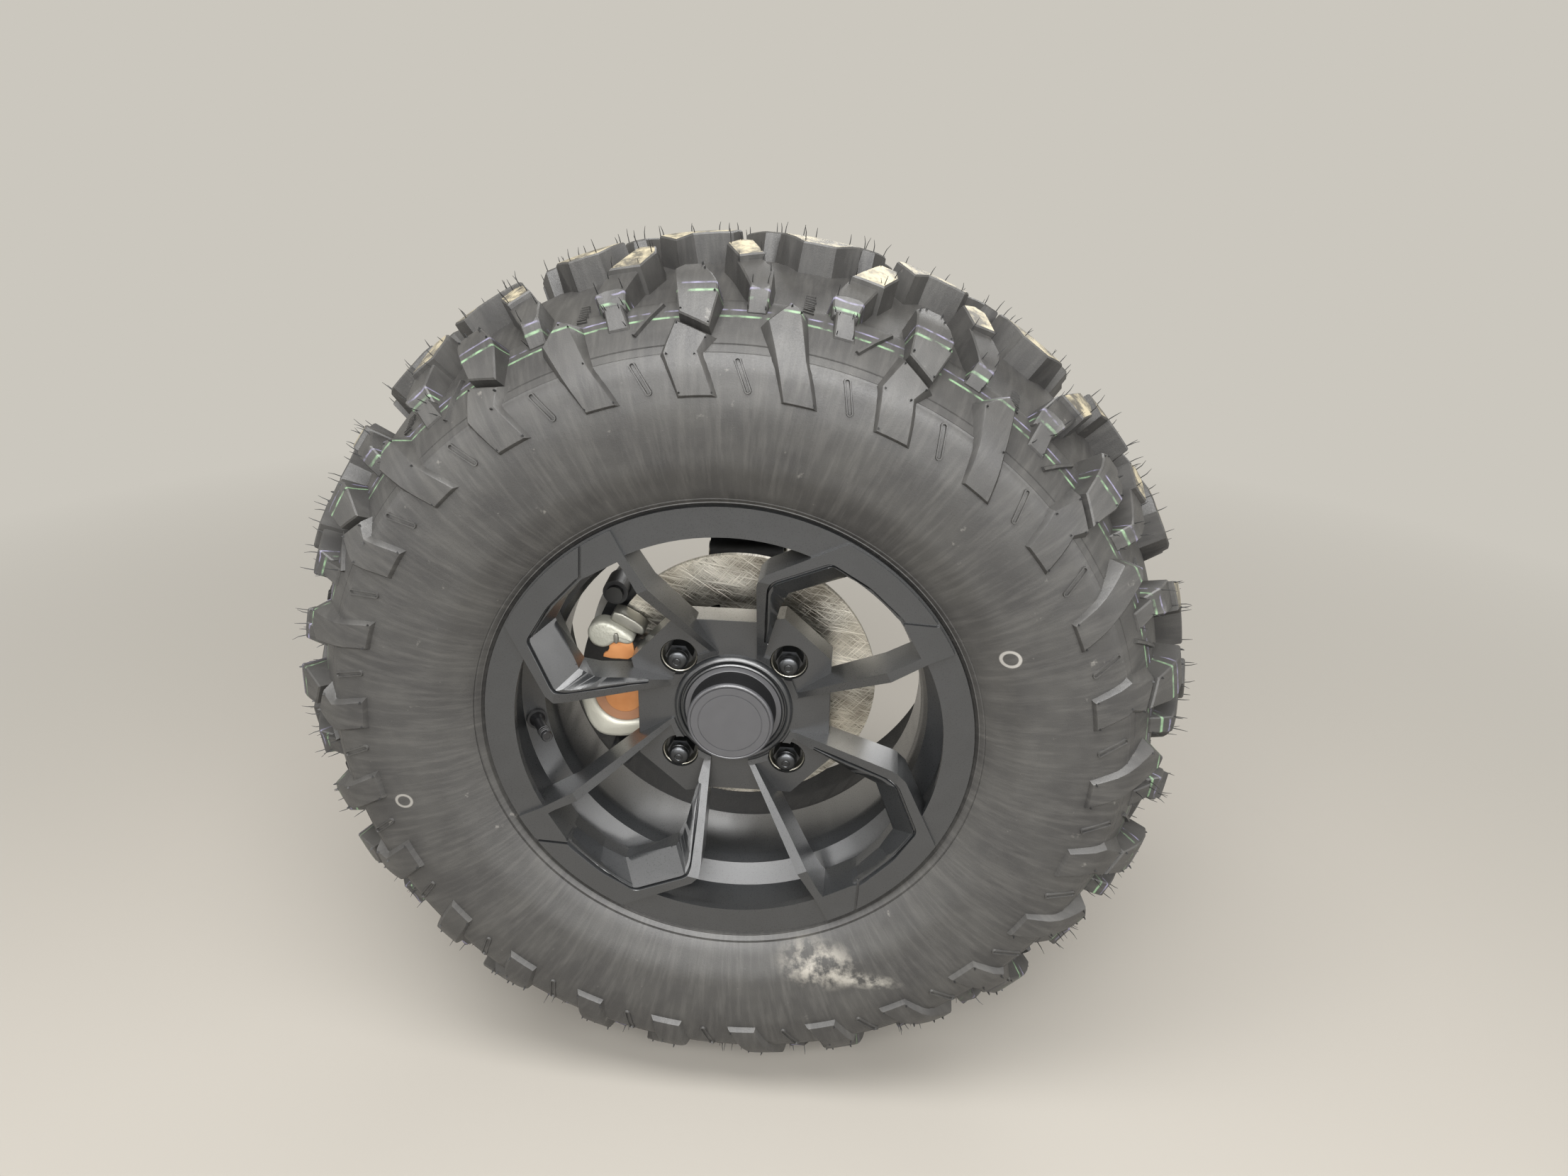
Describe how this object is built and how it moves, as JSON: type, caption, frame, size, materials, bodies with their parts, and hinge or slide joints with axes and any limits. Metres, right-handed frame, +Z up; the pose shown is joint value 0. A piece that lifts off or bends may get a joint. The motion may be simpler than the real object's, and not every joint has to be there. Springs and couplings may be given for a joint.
{
  "type": "off-road wheel and hub assembly",
  "caption": "Wide lugged off-road tyre on a black cast rim with claw spokes, on a hub with brake disc, sliding caliper and knuckle; the wheel spins freely.",
  "frame": {"origin": "centre of the pattern of the two arm bolts in the knuckle, on the wheel axis", "axes": "+X forward on the vehicle and along the arm bolts, +Y inboard along the wheel axis, +Z up"},
  "size_m": [0.7307, 0.263, 0.731],
  "materials": {
    "tyre_rubber": "matte moulded rubber",
    "black_rim": "satin black coated cast aluminium",
    "cap_plastic": "satin black moulded plastic",
    "valve_rubber": "matte moulded rubber",
    "nut_steel": "dark plated steel",
    "hub_iron": "dark painted iron casting",
    "disc_steel": "ground steel",
    "bolt_steel": "dark zinc plated steel",
    "axle_steel": "machined steel",
    "knuckle_iron": "black painted casting",
    "bearing_steel": "ground steel with dark seals",
    "bush_rubber": "matte moulded rubber",
    "sleeve_steel": "zinc plated steel",
    "bracket_iron": "black painted casting",
    "caliper_aluminium": "rough cast aluminium",
    "pad_copper": "copper coloured steel backing",
    "pin_steel": "zinc plated steel"
  },
  "bodies": {
    "knuckle_group": {"knuckle": "knuckle_iron", "wheel_bearing": "bearing_steel", "upper_arm_bush": "bush_rubber", "upper_arm_sleeve": "sleeve_steel", "lower_arm_bush": "bush_rubber", "lower_arm_sleeve": "sleeve_steel", "caliper_bracket": "bracket_iron", "caliper_body": "caliper_aluminium", "brake_pad_outer": "pad_copper", "brake_pad_inner": "pad_copper", "guide_pin_upper": "pin_steel", "guide_pin_lower": "pin_steel", "bracket_bolt_upper": "bolt_steel", "bracket_bolt_lower": "bolt_steel"},
    "wheel_group": {"tyre": "tyre_rubber", "rim": "black_rim", "centre_cap": "cap_plastic", "valve_stem": "valve_rubber", "lug_nut_1": "nut_steel", "lug_nut_2": "nut_steel", "lug_nut_3": "nut_steel", "lug_nut_4": "nut_steel", "wheel_hub": "hub_iron", "brake_disc": "disc_steel", "disc_bolt_1": "bolt_steel", "disc_bolt_2": "bolt_steel", "disc_bolt_3": "bolt_steel", "disc_bolt_4": "bolt_steel", "stub_axle": "axle_steel", "axle_nut": "nut_steel"}
  },
  "joints": [
    {"name": "wheel_spin", "type": "hinge", "parent": "knuckle_group", "child": "wheel_group", "pos_m": [0, 0, 0], "axis": [0, 1, 0], "continuous": true}
  ]
}
